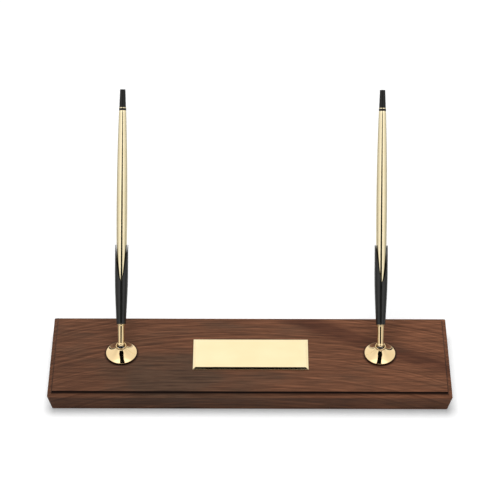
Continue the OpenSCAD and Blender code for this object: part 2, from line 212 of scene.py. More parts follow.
def add_noise(tree, vector, scale, detail=2):
    """Adds a noise pattern stretched by a scale in each direction, and returns its factor."""
    stretched = add_node(tree, "ShaderNodeMapping", {"Vector": vector, "Scale": scale})
    inputs = {"Vector": stretched.outputs["Vector"], "Scale": 1, "Detail": detail}
    return add_node(tree, "ShaderNodeTexNoise", inputs).outputs["Fac"]


def add_ramp(tree, factor, stops):
    """Adds a colour ramp with its stops as (place, colour), and returns its colour."""
    ramp = add_node(tree, "ShaderNodeValToRGB", {"Fac": factor})
    elements = ramp.color_ramp.elements
    elements[0].position = stops[0][0]
    elements[1].position = stops[-1][0]
    for place, colour in stops[1:-1]:
        elements.new(place)
    for element, (place, colour) in zip(elements, stops):
        element.color = (*colour, 1)
    return ramp.outputs["Color"]


def add_range(tree, value, low, high):
    """Adds a node that carries a factor into a range, and returns its result."""
    inputs = {"Value": value, "To Min": low, "To Max": high}
    return add_node(tree, "ShaderNodeMapRange", inputs).outputs["Result"]


def add_mix(tree, blend, factor, first, second):
    """Adds a colour mix, and returns its colour."""
    inputs = {"Fac": factor, "Color1": first, "Color2": second}
    return add_node(tree, "ShaderNodeMixRGB", inputs, blend_type=blend).outputs["Color"]


def add_bump(tree, height, strength, distance):
    """Adds a bump of a real height, and returns its normal."""
    inputs = {"Height": height, "Strength": strength, "Distance": distance}
    return add_node(tree, "ShaderNodeBump", inputs).outputs["Normal"]


def lacquered_walnut():
    """Flat sawn walnut with arched rings, dark figure, grey patches and pores, painted shade in the cove
    and a painted shadow around each dish.
    """
    arch = 1.3
    ring_slope = 0.8
    ring_wander = 0.010
    rings_per_metre = 420
    tone_along = 3.5
    tone_across = 5.5
    figure_turn = math.radians(24)
    figure_at = 0.0448
    figure_width = 0.022
    figure_fray = 0.020
    patch_place = (-0.045, -0.022, 0.018)
    patch_reach = (0.075, 0.040, 0.040)
    patch_pull = 0.45
    grey_brown = (0.050, 0.031, 0.020, 1)
    figure_brown = (0.060, 0.022, 0.012, 1)
    pore_brown = (0.030, 0.011, 0.006, 1)
    # Near-black brown for the painted shade in the cove and the painted shadow around the dishes.
    painted_shade_brown = (0.006, 0.0015, 0.0008, 1)
    # Painted shadow on the wood around each dish's foot: where it starts and how wide it is.
    dish_shadow_start = 0.0108
    dish_shadow_width = 0.0018
    material, tree, surface = start_material("lacquered_walnut")
    place = add_node(tree, "ShaderNodeTexCoord", {}).outputs["Object"]
    parts = add_node(tree, "ShaderNodeSeparateXYZ", {"Vector": place}).outputs

    def add_math(operation, *values):
        """Adds a math node, and returns its value."""
        return add_node(
            tree, "ShaderNodeMath", dict(enumerate(values)), operation=operation
        ).outputs["Value"]

    arched = add_math("MULTIPLY_ADD", add_math("MULTIPLY", parts["X"], parts["X"]), arch, parts["Y"])
    sunk = add_math("MULTIPLY_ADD", parts["Z"], ring_slope, arched)
    wander = add_noise(tree, place, (10, 34, 34), 4)
    rings = add_node(
        tree,
        "ShaderNodeTexNoise",
        {
            "W": add_math("MULTIPLY_ADD", wander, ring_wander, sunk),
            "Scale": rings_per_metre,
            "Detail": 6,
            "Roughness": 0.7,
        },
        noise_dimensions="1D",
    ).outputs["Fac"]
    wood = add_ramp(
        tree,
        rings,
        [
            (0.30, (0.062, 0.0260, 0.0140)),
            (0.50, (0.102, 0.0440, 0.0240)),
            (0.70, (0.150, 0.0650, 0.0350)),
        ],
    )
    across = add_math("MULTIPLY_ADD", parts["Y"], tone_across, 0.5)
    end_tone = add_ramp(
        tree,
        add_math("MULTIPLY_ADD", parts["X"], tone_along, across),
        [(0.0, (0.80, 0.80, 0.80)), (0.25, (0.94, 0.93, 0.92)), (1.0, (1.18, 1.10, 1.04))],
    )
    wood = add_mix(tree, "MULTIPLY", 1, wood, end_tone)
    turned = add_node(tree, "ShaderNodeMapping", {"Vector": place, "Rotation": (0, 0, figure_turn)})
    along_figure = add_node(tree, "ShaderNodeSeparateXYZ", {"Vector": turned.outputs["Vector"]}).outputs
    streaks = add_noise(tree, turned.outputs["Vector"], (14, 150, 150), 4)
    off_figure = add_math("MULTIPLY_ADD", streaks, figure_fray, along_figure["Y"])
    figure_share = add_ramp(
        tree,
        add_math("MULTIPLY_ADD", add_math("SUBTRACT", off_figure, figure_at), 1 / figure_width, 0),
        [(0.0, (0, 0, 0)), (0.35, (0.85, 0.85, 0.85)), (0.6, (0.85, 0.85, 0.85)), (1.0, (0, 0, 0))],
    )
    wood = add_mix(tree, "MIX", figure_share, wood, figure_brown)
    patches = add_noise(tree, place, (22, 60, 60), 4)
    from_patch = add_node(
        tree,
        "ShaderNodeMapping",
        {"Vector": place, "Location": patch_place, "Scale": patch_reach},
        vector_type="TEXTURE",
    )
    near_patch = add_node(
        tree, "ShaderNodeTexGradient", {"Vector": from_patch.outputs["Vector"]}, gradient_type="SPHERICAL"
    )
    patch_share = add_ramp(
        tree,
        add_math("MULTIPLY_ADD", near_patch.outputs["Fac"], patch_pull, patches),
        [(0.52, (0, 0, 0)), (0.82, (0.75, 0.75, 0.75))],
    )
    wood = add_mix(tree, "MIX", patch_share, wood, grey_brown)
    fibres = add_noise(tree, place, (36, 620, 620), 5)
    fibre_tone = add_ramp(tree, fibres, [(0.3, (0.64, 0.64, 0.64)), (0.7, (1.36, 1.36, 1.36))])
    wood = add_mix(tree, "MULTIPLY", 1, wood, fibre_tone)
    pores = add_noise(tree, place, (100, 2600, 2600), 1)
    pore_share = add_ramp(tree, pores, [(0.60, (0, 0, 0)), (0.72, (0.6, 0.6, 0.6))])
    wood = add_mix(tree, "MIX", pore_share, wood, pore_brown)
    # Painted shade in the cove, read from the block's attribute.
    painted_cove_shade = add_node(tree, "ShaderNodeAttribute", {}, attribute_name="painted_cove_shade").outputs["Fac"]
    wood = add_mix(tree, "MIX", painted_cove_shade, wood, painted_shade_brown)
    # Painted shadow: the wood darkens in a narrow ring just outside each dish's foot.
    for side in sides:
        middle = joints[side + "_turn"]["pos_m"]
        right = add_math("SUBTRACT", parts["X"], middle[0])
        back = add_math("SUBTRACT", parts["Y"], middle[1])
        back_square = add_math("MULTIPLY", back, back)
        away = add_math("SQRT", add_math("MULTIPLY_ADD", right, right, back_square))
        dish_shadow = add_ramp(
            tree,
            add_math("MULTIPLY_ADD", away, 1 / dish_shadow_width, -dish_shadow_start / dish_shadow_width),
            [(0.0, (0.9, 0.9, 0.9)), (1.0, (0, 0, 0))],
        )
        wood = add_mix(tree, "MIX", dish_shadow, wood, painted_shade_brown)
    fill(tree, surface.inputs["Base Color"], wood)
    fill(tree, surface.inputs["Roughness"], add_range(tree, fibres, 0.36, 0.52))
    fill(tree, surface.inputs["Normal"], add_bump(tree, fibres, 0.25, 0.00003))
    surface.inputs["Specular IOR Level"].default_value = 0.08
    return material


block.data.materials.append(lacquered_walnut())
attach(block, "base")
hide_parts("walnut_base")

# Felt
# A sheet of dark green wool felt is die cut a little smaller than the block and glued under it. It
# closes the counterbores and keeps the base from scratching the desk.
felt_low, felt_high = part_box("felt_pad")
felt_size = felt_high - felt_low
felt_round = 0.0002
felt_columns = 136
felt_rows = 34

felt = add_primitive(
    "felt_sheet",
    bpy.ops.mesh.primitive_grid_add,
    x_subdivisions=felt_columns,
    y_subdivisions=felt_rows,
    size=1,
)
bpy.ops.transform.resize(value=(felt_size.x, felt_size.y, 1))
bpy.ops.transform.translate(value=(0, 0, felt_high.z))
bpy.ops.object.mode_set(mode="OBJECT")
apply_modifier(felt, "SOLIDIFY", thickness=felt_size.z, offset=-1)
apply_modifier(felt, "BEVEL", width=felt_round, segments=2, limit_method="ANGLE")
even_shading(felt)


def wool_felt():
    """Pressed wool: matted fibres with no weave, and a soft sheen at low angles."""
    material, tree, surface = start_material("wool_felt")
    place = add_node(tree, "ShaderNodeTexCoord", {}).outputs["Object"]
    mats = add_noise(tree, place, (420, 420, 420), 4)
    hairs = add_noise(tree, place, (3200, 3200, 3200), 3)
    colour = add_ramp(tree, mats, [(0.3, (0.012, 0.032, 0.020)), (0.7, (0.030, 0.068, 0.042))])
    tone = add_ramp(tree, hairs, [(0.3, (0.6, 0.6, 0.6)), (0.75, (1.3, 1.3, 1.3))])
    fill(tree, surface.inputs["Base Color"], add_mix(tree, "MULTIPLY", 1, colour, tone))
    fill(tree, surface.inputs["Normal"], add_bump(tree, hairs, 0.8, 0.0001))
    surface.inputs["Roughness"].default_value = 0.95
    surface.inputs["Sheen Weight"].default_value = 0.4
    return material


felt.data.materials.append(wool_felt())
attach(felt, "base")
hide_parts("felt_pad")

# Dishes
# Each dish is a hollow turned brass cone with a short neck around its socket, mirror polished and gilt.
# It stands on the top field over its bore, and the bushing's flange holds it from inside.
dish_foot_height = 0.0009
dish_foot_inset = 0.0005
dish_rim = 0.0005
dish_neck = 0.0008
cone_hollow = 0.0005
cone_cuts = 24
neck_radius = 0.00365
socket_radius = 0.00295
socket_depth = 0.00233
socket_floor = 0.001
shank_hole = 0.00155
cone_wall = 0.0014
dish_arris = 0.00016
merge_within = 0.000001
round_from = math.radians(30)


def turn_on_lathe(name, outline, steps=128):
    """Turns an outline of (radius, height) points about Z, and closes it unless it ends on the axis."""
    piece = add_primitive(name, bpy.ops.mesh.primitive_plane_add, size=near)
    bpy.ops.mesh.select_mode(type="VERT")
    bpy.ops.mesh.merge(type="CENTER")
    points = [Vector((radius, 0, height)) for radius, height in outline]
    if outline[0][0] > 0:
        points.append(points[0])
    bpy.ops.transform.translate(value=points[0])
    for start, end in zip(points, points[1:]):
        bpy.ops.mesh.extrude_vertices_move(TRANSFORM_OT_translate={"value": end - start})
    bpy.ops.mesh.select_all(action="SELECT")
    bpy.ops.mesh.spin(steps=steps, angle=2 * math.pi, center=(0, 0, 0), axis=(0, 0, 1))
    bpy.ops.mesh.select_all(action="SELECT")
    bpy.ops.mesh.remove_doubles(threshold=merge_within)
    bpy.ops.mesh.normals_make_consistent(inside=False)
    bpy.ops.object.mode_set(mode="OBJECT")
    return piece


def map_turning(piece):
    """Writes the turning map of a piece on the Z axis: turns around it, and metres along its surface."""
    mesh = piece.data
    turning = mesh.uv_layers.new(name="turning")
    for face in mesh.polygons:
        points = [mesh.vertices[mesh.loops[loop].vertex_index].co for loop in face.loop_indices]
        turns = [math.atan2(point.y, point.x) / (2 * math.pi) for point in points]
        if max(turns) - min(turns) > 0.5:
            turns = [turn % 1 for turn in turns]
        for loop, point, turn in zip(face.loop_indices, points, turns):
            turning.data[loop].uv = (turn, point.z - math.hypot(point.x, point.y))


def set_in_place(piece, place):
    """Moves a piece from the Z axis to its place, and leaves its object at the origin."""
    bpy.ops.object.select_all(action="DESELECT")
    piece.select_set(True)
    bpy.context.view_layer.objects.active = piece
    piece.matrix_world = place
    bpy.ops.object.transform_apply(location=True, rotation=True, scale=True)


def finish_turned(piece, place, arris, material, body, node):
    """Maps, places, rounds and polishes a turned piece, and puts it in the place of its solid."""
    map_turning(piece)
    set_in_place(piece, place)
    apply_modifier(
        piece, "BEVEL", width=arris, segments=3, limit_method="ANGLE", angle_limit=round_from
    )
    even_shading(piece)
    piece.data.materials.append(material)
    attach(piece, body)
    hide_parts(node)


def turned_metal(name, colour, deep_colour, roughness, line_height):
    """Polished metal with the fine lines that turning and buffing leave, and painted shade in recesses.
    """
    recess_shade_colour = (0.020, 0.011, 0.006, 1)
    recess_roughness = (0.5, 0.5, 0.5, 1)
    material, tree, surface = start_material(name)
    turning = add_node(tree, "ShaderNodeUVMap", {}, uv_map="turning").outputs["UV"]
    place = add_node(tree, "ShaderNodeTexCoord", {}).outputs["Object"]
    lines = add_noise(tree, turning, (1.5, 5200, 1), 3)
    haze = add_noise(tree, place, (150, 150, 150), 3)
    tone = add_ramp(tree, haze, [(0.3, deep_colour), (0.7, colour)])
    # Painted shade: faces marked in the mesh turn near black and less glossy.
    recess_shade = add_node(tree, "ShaderNodeAttribute", {}, attribute_name="recess_shade").outputs["Fac"]
    fill(tree, surface.inputs["Base Color"], add_mix(tree, "MIX", recess_shade, tone, recess_shade_colour))
    buffed = add_range(tree, lines, roughness * 0.7, roughness * 1.3)
    fill(tree, surface.inputs["Roughness"], add_mix(tree, "MIX", recess_shade, buffed, recess_roughness))
    fill(tree, surface.inputs["Normal"], add_bump(tree, lines, 0.15, line_height))
    surface.inputs["Metallic"].default_value = 1
    return material


def between(start, end, cuts):
    """Evenly spaced places from start to end."""
    return [start + (end - start) * cut / cuts for cut in range(cuts + 1)]


mirror_gilt = turned_metal(
    "mirror_gilt", (0.90, 0.69, 0.39), (0.87, 0.65, 0.35), roughness=0.055, line_height=0.000002
)
for side in sides:
    low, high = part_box(side + "_dish")
    rim_radius = (high.x - low.x) / 2
    height = high.z - low.z
    floor_top = height - socket_depth
    floor_low = floor_top - socket_floor
    rim_top = dish_foot_height + dish_rim
    run = rim_radius - neck_radius
    rise = height - dish_neck - rim_top
    inner_foot = rim_radius - cone_wall / 2 * run / rise
    inner_top = rim_radius - (floor_low + cone_wall - rim_top) * run / rise
    cone = []
    for share in between(0, 1, cone_cuts):
        sag = 4 * share * (1 - share) * cone_hollow / math.hypot(run, rise)
        cone.append((rim_radius - run * share - rise * sag, rim_top + rise * share - run * sag))
    dish = turn_on_lathe(
        side + "_cone_dish",
        [
            (inner_foot, 0),
            (rim_radius - dish_foot_inset, 0),
            (rim_radius - dish_foot_inset, dish_foot_height),
            (rim_radius, dish_foot_height),
        ]
        + cone
        + [
            (neck_radius, height),
            (socket_radius, height),
            (socket_radius, floor_top),
            (shank_hole, floor_top),
            (shank_hole, floor_low),
            (inner_top, floor_low),
            (inner_foot, rim_top - cone_wall / 2),
        ],
    )
    # Painted shade on the socket's inside and on the recessed foot under the rim.
    recess_shade = dish.data.attributes.new("recess_shade", "FLOAT", "FACE")
    for face in dish.data.polygons:
        in_socket = math.hypot(face.center.x, face.center.y) < socket_radius + near
        recess_shade.data[face.index].value = in_socket or face.center.z < dish_foot_height + near
    seat = Matrix.Translation(((low.x + high.x) / 2, (low.y + high.y) / 2, low.z))
    finish_turned(dish, seat, dish_arris, mirror_gilt, "base", side + "_dish")

# Ball studs
# Each stud is turned from steel rod: a polished ball on a thin neck, a shoulder that stands on the
# socket's floor, and a threaded shank through the bushing. It turns with the holder.
ball_radius = 0.0021
stud_neck_radius = 0.00074
shoulder_radius = 0.002
shoulder_top = -0.00255
shoulder_thickness = 0.0004
shank_radius = 0.0015
stud_arris = 0.00008
ball_cuts = 24
stud_steps = 64


def arc(radius, start, end, cuts):
    """Points of (radius, height) on a ball about the origin, from one elevation to another."""
    angles = between(start, end, cuts)
    return [(radius * math.cos(angle), radius * math.sin(angle)) for angle in angles]


bright_steel = turned_metal(
    "bright_steel", (0.56, 0.56, 0.57), (0.50, 0.50, 0.51), roughness=0.22, line_height=0.000003
)
for side in sides:
    centre = Vector(joints[side + "_lean"]["pos_m"])
    stud_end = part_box(side + "_ball_stud")[0].z - centre.z
    stud_neck_at = -math.acos(stud_neck_radius / ball_radius)
    stud = turn_on_lathe(
        side + "_steel_stud",
        [(0, ball_radius)]
        + arc(ball_radius, math.pi / 2, stud_neck_at, ball_cuts)[1:]
        + [
            (stud_neck_radius, shoulder_top),
            (shoulder_radius, shoulder_top),
            (shoulder_radius, shoulder_top - shoulder_thickness),
            (shank_radius, shoulder_top - shoulder_thickness),
            (shank_radius, stud_end),
            (0, stud_end),
        ],
        steps=stud_steps,
    )
    finish_turned(
        stud,
        Matrix.Translation(centre),
        stud_arris,
        bright_steel,
        side + "_swivel",
        side + "_ball_stud",
    )

# Swivel hardware
# Under the wood, a brass bushing guides the stud, and a flat washer, a conical spring washer and a
# hexagon nut keep it tight. A nylon plunger and a coil spring in the stem press on the ball.


def plain_metal(name, colour, deep_colour, roughness):
    """Bought in hardware: plain metal with a faint uneven bloom and fine scratches."""
    material, tree, surface = start_material(name)
    place = add_node(tree, "ShaderNodeTexCoord", {}).outputs["Object"]
    bloom = add_noise(tree, place, (260, 260, 260), 3)
    scratches = add_noise(tree, place, (300, 4200, 1500), 2)
    tone = add_ramp(tree, bloom, [(0.3, deep_colour), (0.7, colour)])
    fill(tree, surface.inputs["Base Color"], tone)
    fill(tree, surface.inputs["Roughness"], add_range(tree, bloom, roughness * 0.8, roughness * 1.2))
    fill(tree, surface.inputs["Normal"], add_bump(tree, scratches, 0.2, 0.000004))
    surface.inputs["Metallic"].default_value = 1
    return material


def natural_nylon():
    """Unfilled nylon: milky, a little waxy and slightly uneven."""
    material, tree, surface = start_material("natural_nylon")
    place = add_node(tree, "ShaderNodeTexCoord", {}).outputs["Object"]
    cloud = add_noise(tree, place, (500, 500, 500), 3)
    tone = add_ramp(tree, cloud, [(0.3, (0.66, 0.63, 0.55)), (0.7, (0.78, 0.76, 0.69))])
    fill(tree, surface.inputs["Base Color"], tone)
    fill(tree, surface.inputs["Roughness"], add_range(tree, cloud, 0.38, 0.52))
    surface.inputs["Subsurface Weight"].default_value = 0.1
    return material


plain_brass = plain_metal("plain_brass", (0.70, 0.52, 0.25), (0.58, 0.41, 0.18), 0.28)
plain_steel = plain_metal("plain_steel", (0.52, 0.52, 0.53), (0.42, 0.42, 0.43), 0.32)
nylon = natural_nylon()
hardware = {
    "bushing": plain_brass,
    "washer": plain_steel,
    "spring_washer": plain_steel,
    "stud_nut": plain_steel,
    "ball_seat": nylon,
    "friction_spring": plain_steel,
    "connector": plain_brass,
    "refill_tube": plain_brass,
}
for side in sides:
    for name, material in hardware.items():
        for material_slot in frame["nodes"][side + "_" + name].material_slots:
            material_slot.material = material

# Stems
# Each stem is turned brass, polished and gilt like the dish. Its foot is a cup swaged over the ball,
# and its flange and spigot carry the funnel. Along a holder, heights count from the ball's centre.
cup_radius = 0.00215
foot_radius = 0.0025
cup_lip = -0.0008
shaft_low_radius = 0.00225
shaft_top_radius = 0.00245
shaft_flare = 0.0012
flare_cuts = 6
flange_radius = 0.00275
flange_thickness = 0.0005
spigot_radius = 0.0015
spigot_length = 0.0045
plunger_bore = 0.00138
plunger_bore_end = 0.01007
stem_length = 0.0144
stem_arris = 0.0001
cup_cuts = 16


def holder_place(side):
    """Where a holder stands at rest: its origin at the ball's centre, and Z along the pen."""
    lean, lift = joints[side + "_lean"], joints[side + "_lift"]
    across = Vector(lean["axis"]).normalized()
    along = Vector(lift["axis"]).normalized()
    turned = Matrix((across, along.cross(across), along)).transposed().to_4x4()
    return Matrix.Translation(lean["pos_m"]) @ turned


flare_start = stem_length - flange_thickness - shaft_flare
flare = []
for cut in range(flare_cuts + 1):
    angle = math.pi / 2 * cut / flare_cuts
    flare_radius = shaft_top_radius + (flange_radius - shaft_top_radius) * (1 - math.cos(angle))
    flare.append((flare_radius, flare_start + shaft_flare * math.sin(angle)))
for side in sides:
    cup_edge = math.asin(cup_lip / cup_radius)
    foot_edge = math.asin(cup_lip / foot_radius)
    stem = turn_on_lathe(
        side + "_gilt_stem",
        [(0, plunger_bore_end), (plunger_bore, plunger_bore_end)]
        + arc(cup_radius, math.acos(plunger_bore / cup_radius), cup_edge, cup_cuts)
        + arc(foot_radius, foot_edge, math.acos(shaft_low_radius / foot_radius), cup_cuts)
        + flare
        + [
            (flange_radius, stem_length),
            (spigot_radius, stem_length),
            (spigot_radius, stem_length + spigot_length),
            (0, stem_length + spigot_length),
        ],
    )
    finish_turned(
        stem,
        holder_place(side),
        stem_arris,
        mirror_gilt,
        side + "_holder",
        side + "_stem",
    )

# Funnels
# Each funnel is moulded in glossy black plastic and screwed onto the stem's spigot. It widens towards
# a deep V notch at the front and back, which leaves two thin ears beside the pen.
funnel_foot_radius = 0.00325
funnel_radius = 0.00465
funnel_flare = 0.038
funnel_wall = 0.0007
funnel_floor = 0.001
notch_start = 0.0299
notch_depth = 0.0255
ear_land = 0.0003
notch_curve = 2
spigot_hole = 0.00153
funnel_arris = 0.00012
funnel_turns = {"left": math.radians(-2.5), "right": math.radians(10)}
funnel_cuts = 24
funnel_steps = 120
ear_rows = 20
ear_foot_share = 0.9
notch_tries = 8


def funnel_outside(height):
    """Radius of the funnel's outside at a height along the holder."""
    share = min(1, (height - stem_length) / funnel_flare)
    return funnel_foot_radius + (funnel_radius - funnel_foot_radius) * math.sin(math.pi / 2 * share)


def notch_edge(angle, inset):
    """Height of the curved V at an angle around the funnel, on its outside or its inside."""
    edge = ear_top
    for _ in range(notch_tries):
        across = (funnel_outside(edge) - inset) * abs(math.cos(angle))
        share = min(1, across / (funnel_radius - ear_land))
        edge = stem_length + notch_start + notch_depth * share**notch_curve
    return edge


def glossy_black(name, specular):
    """Glossy black with a slight ripple and faint handling marks."""
    material, tree, surface = start_material(name)
    place = add_node(tree, "ShaderNodeTexCoord", {}).outputs["Object"]
    ripple = add_noise(tree, place, (420, 420, 420), 2)
    marks = add_noise(tree, place, (1100, 300, 300), 4)
    tone = add_ramp(tree, marks, [(0.3, (0.006, 0.006, 0.005)), (0.75, (0.012, 0.012, 0.011))])
    fill(tree, surface.inputs["Base Color"], tone)
    fill(tree, surface.inputs["Roughness"], add_range(tree, marks, 0.10, 0.22))
    fill(tree, surface.inputs["Normal"], add_bump(tree, ripple, 0.06, 0.00004))
    surface.inputs["IOR"].default_value = 1.53
    surface.inputs["Specular IOR Level"].default_value = specular
    return material


black_moulding = glossy_black("glossy_black", 0.4)
ear_foot = stem_length + ear_foot_share * notch_start
ear_top = stem_length + notch_start + notch_depth
floor_low = stem_length + spigot_length
floor_high = floor_low + funnel_floor
for side in sides:
    funnel = turn_on_lathe(
        side + "_black_funnel",
        [(0, floor_low), (spigot_hole, floor_low), (spigot_hole, stem_length)]
        + [(funnel_outside(height), height) for height in between(stem_length, ear_foot, funnel_cuts)]
        + [(funnel_radius, height) for height in between(ear_foot, ear_top, ear_rows)[1:]]
        + [(funnel_radius - funnel_wall, height) for height in between(ear_top, ear_foot, ear_rows)[:-1]]
        + [
            (funnel_outside(height) - funnel_wall, height)
            for height in between(ear_foot, floor_high, funnel_cuts)
        ]
        + [(0, floor_high)],
        steps=funnel_steps,
    )
    for vertex in funnel.data.vertices:
        if vertex.co.z > ear_foot + near:
            angle = math.atan2(vertex.co.y, vertex.co.x)
            outside = math.hypot(vertex.co.x, vertex.co.y) > funnel_radius - funnel_wall / 2
            inset = 0 if outside else funnel_wall
            share = (vertex.co.z - ear_foot) / (ear_top - ear_foot)
            height = ear_foot + (notch_edge(angle, inset) - ear_foot) * share
            radius = funnel_outside(height) - inset
            vertex.co = (radius * math.cos(angle), radius * math.sin(angle), height)
    finish_turned(
        funnel,
        holder_place(side) @ Matrix.Rotation(funnel_turns[side], 4, "Z"),
        funnel_arris,
        black_moulding,
        side + "_holder",
        side + "_funnel",
    )

# Pens
# Each pen has a drawn brass barrel in pale gilt with a slim belly, and a black tail behind a black band
# and a gilt ring. In the funnel stand its black front section, its gilt nose tip and the ball point.
barrel_wall = 0.00045
barrel_end_radius = 0.00255
belly_at = 0.073
barrel_cuts = 60
plug_radius = 0.00207
plug_gap = 0.00003
tail_end_radius = 0.0019
section_end_radius = 0.0021
connector_hole = 0.00265
connector_depth = 0.006
refill_hole = 0.00163
nose_end_radius = 0.0013
point_radius = 0.00095
point_end_radius = 0.00035
point_out = 0.002
point_shoulder = 0.0025
point_plug = 0.003
point_plug_radius = 0.00127
refill_radius = 0.0016
point_hole = 0.00098
pen_arris = 0.0001
thin_arris = 0.00005
tail_arris = 0.00018
band_drop = 0.00035


def reach(node, place):
    """The lowest and highest place of a solid along its axis, and its largest radius."""
    home = place.inverted()
    points = [home @ vertex.co for vertex in frame["nodes"][node].data.vertices]
    heights = [point.z for point in points]
    return min(heights), max(heights), max(math.hypot(point.x, point.y) for point in points)


barrel_gilt = turned_metal(
    "barrel_gilt", (0.92, 0.80, 0.53), (0.90, 0.77, 0.49), roughness=0.10, line_height=0.000002
)
black_lacquer = glossy_black("black_lacquer", 0.2)
for side in sides:
    holder = holder_place(side)
    point_at = reach(side + "_refill_point", holder)[0]
    pen = holder @ Matrix.Translation((0, 0, point_at))
    body = side + "_pen"

    barrel_low, barrel_high, belly_radius = reach(side + "_barrel", pen)
    barrel_high -= band_drop
    swell = [
        (
            belly_radius
            - (belly_radius - barrel_end_radius) * ((height - belly_at) / (barrel_high - belly_at)) ** 2,
            height,
        )
        for height in between(barrel_low, barrel_high, barrel_cuts)
    ]
    barrel = turn_on_lathe(
        side + "_gilt_barrel",
        swell + [(radius - barrel_wall, height) for radius, height in reversed(swell)],
    )
    finish_turned(barrel, pen, pen_arris, barrel_gilt, body, side + "_barrel")

    band_low, band_high, band_radius = reach(side + "_tail_band", pen)
    band_low -= band_drop
    band_high -= band_drop
    band = turn_on_lathe(
        side + "_black_band",
        [
            (plug_radius + plug_gap, band_low),
            (band_radius, band_low),
            (band_radius, band_high),
            (plug_radius + plug_gap, band_high),
        ],
    )
    finish_turned(band, pen, thin_arris, black_lacquer, body, side + "_tail_band")

    ring_low, ring_high, ring_radius = reach(side + "_tail_ring", pen)
    ring_low -= band_drop
    ring_high -= band_drop
    ring = turn_on_lathe(
        side + "_gilt_ring",
        [
            (plug_radius + plug_gap, ring_low),
            (ring_radius, ring_low),
            (ring_radius, ring_high),
            (plug_radius + plug_gap, ring_high),
        ],
    )
    finish_turned(ring, pen, thin_arris, barrel_gilt, body, side + "_tail_ring")

    plug_low, tail_high, tail_reach = reach(side + "_tail", pen)
    tail = turn_on_lathe(
        side + "_black_tail",
        [
            (0, plug_low),
            (plug_radius, plug_low),
            (plug_radius, ring_high),
            (tail_reach, ring_high),
            (tail_end_radius, tail_high),
            (0, tail_high),
        ],
    )
    finish_turned(tail, pen, tail_arris, black_lacquer, body, side + "_tail")

    section_low, section_high, section_radius = reach(side + "_section", pen)
    section = turn_on_lathe(
        side + "_black_section",
        [
            (refill_hole, section_low),
            (section_end_radius, section_low),
            (section_radius, section_high),
            (connector_hole, section_high),
            (connector_hole, section_high - connector_depth),
            (refill_hole, section_high - connector_depth),
        ],
    )
    finish_turned(section, pen, pen_arris, black_moulding, body, side + "_section")

    nose_low, nose_high, nose_radius = reach(side + "_nose_tip", pen)
    nose = turn_on_lathe(
        side + "_gilt_nose",
        [
            (point_hole, nose_low),
            (nose_end_radius, nose_low),
            (nose_radius, nose_high),
            (refill_hole, nose_high),
            (refill_hole, nose_high - point_shoulder / 2),
            (point_hole, nose_high - point_shoulder / 2),
        ],
    )
    finish_turned(nose, pen, pen_arris, mirror_gilt, body, side + "_nose_tip")

    shoulder_low = nose_high - point_shoulder / 2
    point = turn_on_lathe(
        side + "_ball_point",
        [
            (0, 0),
            (point_end_radius, 0),
            (point_radius, point_out),
            (point_radius, shoulder_low),
            (refill_radius, shoulder_low),
            (refill_radius, shoulder_low + point_shoulder),
            (point_plug_radius, shoulder_low + point_shoulder),
            (point_plug_radius, shoulder_low + point_shoulder + point_plug),
            (0, shoulder_low + point_shoulder + point_plug),
        ],
        steps=stud_steps,
    )
    finish_turned(point, pen, thin_arris, bright_steel, body, side + "_refill_point")

# Name plate
# A bare brass plate with a bevelled edge, brushed along its length and gilt, ready to be engraved. A
# thin sheet of adhesive holds it to the middle of the top field.
plate_low, plate_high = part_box("name_plate")
plate_size = plate_high - plate_low
plate_middle = (plate_low + plate_high) / 2
bevel_width = 0.00175
bevel_height = 0.0006
plate_arris = 0.00008
plate_round_from = math.radians(10)
bevel_tilts = (0.1, 0.99)

plate = add_primitive("gilt_plate", bpy.ops.mesh.primitive_cube_add, size=1)
bpy.ops.transform.resize(value=(plate_size.x, plate_size.y, plate_size.z - bevel_height))
bpy.ops.transform.translate(value=(plate_middle.x, plate_middle.y, plate_middle.z - bevel_height / 2))
pick(plate, "FACE", lambda face: face.normal.z > level_face)
bpy.ops.mesh.inset(thickness=bevel_width, depth=bevel_height)
bpy.ops.object.mode_set(mode="OBJECT")
apply_modifier(
    plate, "BEVEL", width=plate_arris, segments=2, limit_method="ANGLE", angle_limit=plate_round_from
)
even_shading(plate)

polish = plate.data.attributes.new("polish", "FLOAT", "FACE")
for face in plate.data.polygons:
    polish.data[face.index].value = bevel_tilts[0] < face.normal.z < bevel_tilts[1]


def brushed_gilt():
    """Gilt over brass brushed along its length, with a soft uneven bloom and polished bevels."""
    bevel_roughness = (0.07, 0.07, 0.07, 1)
    material, tree, surface = start_material("brushed_gilt")
    place = add_node(tree, "ShaderNodeTexCoord", {}).outputs["Object"]
    brushing = add_noise(tree, place, (35, 5200, 5200), 4)
    bloom = add_noise(tree, place, (45, 70, 70), 2)
    tone = add_ramp(tree, bloom, [(0.3, (0.90, 0.755, 0.455)), (0.7, (0.94, 0.80, 0.50))])
    fill(tree, surface.inputs["Base Color"], tone)
    polish = add_node(tree, "ShaderNodeAttribute", {}, attribute_name="polish").outputs["Fac"]
    brushed = add_range(tree, brushing, 0.24, 0.40)
    roughness = add_mix(tree, "MIX", polish, brushed, bevel_roughness)
    fill(tree, surface.inputs["Roughness"], roughness)
    fill(tree, surface.inputs["Normal"], add_bump(tree, brushing, 0.12, 0.000006))
    surface.inputs["Metallic"].default_value = 1
    return material


def pale_adhesive():
    """A milky film of adhesive with small uneven patches."""
    material, tree, surface = start_material("pale_adhesive")
    place = add_node(tree, "ShaderNodeTexCoord", {}).outputs["Object"]
    patches = add_noise(tree, place, (300, 300, 300), 3)
    tone = add_ramp(tree, patches, [(0.3, (0.62, 0.61, 0.56)), (0.7, (0.74, 0.73, 0.68))])
    fill(tree, surface.inputs["Base Color"], tone)
    fill(tree, surface.inputs["Roughness"], add_range(tree, patches, 0.5, 0.7))
    return material


plate.data.materials.append(brushed_gilt())
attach(plate, "base")
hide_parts("name_plate")
for material_slot in frame["nodes"]["plate_adhesive"].material_slots:
    material_slot.material = pale_adhesive()

